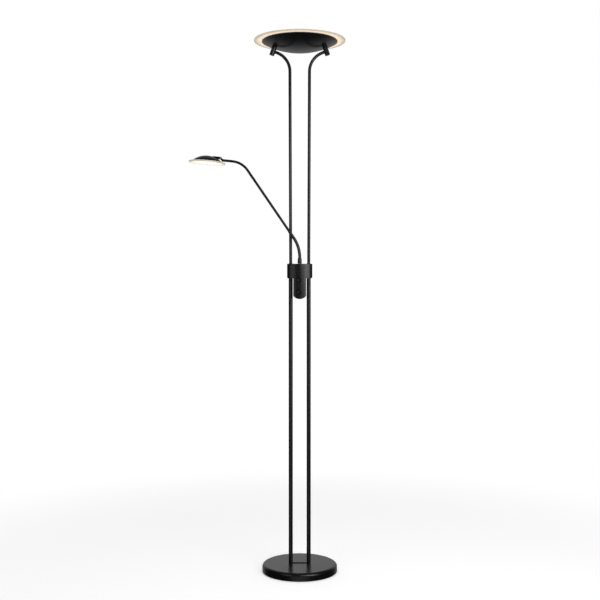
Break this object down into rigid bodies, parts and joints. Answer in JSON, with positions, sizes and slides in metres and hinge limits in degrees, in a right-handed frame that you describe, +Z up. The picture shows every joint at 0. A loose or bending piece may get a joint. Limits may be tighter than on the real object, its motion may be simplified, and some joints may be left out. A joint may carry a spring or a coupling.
{
  "type": "torchiere floor lamp",
  "caption": "Twin-pole torchiere floor lamp with a wide glass uplighter, a swivelling arm with a tilting reading head, rotary dimmers and a round weighted base.",
  "frame": {"origin": "centre of the round base on its underside, on the floor", "axes": "+Z up along the lamp; the two poles stand in the XZ plane; the dimmer knobs face -Y; the reading arm points along -X at rest"},
  "size_m": [0.5293, 0.31, 1.8051],
  "materials": {
    "black_paint": "satin black powder coat with a fine texture",
    "cast_weight": "rough grey casting",
    "felt": "black needled felt",
    "black_rubber": "matte black rubber",
    "brass": "turned brass",
    "zinc_steel": "zinc-plated steel",
    "knob_plastic": "satin black moulded plastic",
    "circuit_board": "green solder mask",
    "led_board": "white solder mask with yellow LED chips",
    "aluminium": "plain sheet aluminium",
    "white_plastic": "satin white moulded plastic",
    "opal_glass": "satin opal glass, lit warm from within"
  },
  "bodies": {
    "stand": {"base_cover": "black_paint", "foot_bridge": "black_paint", "lower_pole_left": "black_paint", "lower_pole_right": "black_paint", "rod_socket_left": "black_paint", "rod_socket_right": "black_paint", "clamp_front_shell": "black_paint", "clamp_rear_shell": "black_paint", "upper_rod_left": "black_paint", "upper_rod_right": "black_paint", "standoff_left": "black_paint", "standoff_right": "black_paint", "uplight_dish": "black_paint", "base_weight": "cast_weight", "clamp_saddle": "cast_weight", "base_felt_pad": "felt", "cable_gland": "black_rubber", "supply_lead": "black_rubber", "uplight_gasket": "black_rubber", "pole_nipple_left": "brass", "pole_nipple_right": "brass", "arm_socket": "brass", "pole_nut_left": "zinc_steel", "pole_nut_right": "zinc_steel", "clamp_screw_upper_left": "zinc_steel", "clamp_screw_upper_right": "zinc_steel", "clamp_screw_lower": "zinc_steel", "potentiometer_upper": "zinc_steel", "potentiometer_lower": "zinc_steel", "standoff_nut_left": "zinc_steel", "standoff_nut_right": "zinc_steel", "dimmer_board": "circuit_board", "uplight_led_board": "led_board", "uplight_heat_plate": "aluminium", "uplight_cap_nut": "aluminium", "uplight_driver": "white_plastic", "uplight_glass": "opal_glass"},
    "arm": {"arm_spindle": "zinc_steel", "swivel_nut": "zinc_steel", "arm_collar": "black_paint", "arm_lower_tube": "black_paint", "arm_upper_tube": "black_paint", "arm_lead": "black_rubber", "knuckle_plug": "black_paint"},
    "reading_head": {"knuckle_screw": "zinc_steel", "knuckle_nut": "zinc_steel", "reading_bracket": "black_paint", "bracket_screw_front": "zinc_steel", "bracket_screw_rear": "zinc_steel", "reading_shell": "black_paint", "reading_heat_plate": "aluminium", "reading_led_board": "led_board", "reading_gasket": "black_rubber", "reading_glass": "opal_glass", "reading_stud": "zinc_steel", "reading_glass_nut": "white_plastic"},
    "dimmer_upper": {"dimmer_knob_upper": "knob_plastic", "dimmer_spindle_upper": "brass"},
    "dimmer_lower": {"dimmer_knob_lower": "knob_plastic", "dimmer_spindle_lower": "brass"}
  },
  "joints": [
    {"name": "arm_swivel", "type": "hinge", "parent": "stand", "child": "arm", "pos_m": [0, -0.02, 1.0447], "axis": [0, 0, 1], "range_deg": [-10, 190]},
    {"name": "reading_head_tilt", "type": "hinge", "parent": "arm", "child": "reading_head", "pos_m": [-0.267, -0.02, 1.4002], "axis": [0, 1, 0], "range_deg": [-8, 85]},
    {"name": "dimmer_upper_turn", "type": "hinge", "parent": "stand", "child": "dimmer_upper", "pos_m": [-0.002, -0.034, 0.99], "axis": [0, 1, 0], "range_deg": [-135, 135]},
    {"name": "dimmer_lower_turn", "type": "hinge", "parent": "stand", "child": "dimmer_lower", "pos_m": [-0.002, -0.034, 0.949], "axis": [0, 1, 0], "range_deg": [-135, 135]}
  ]
}
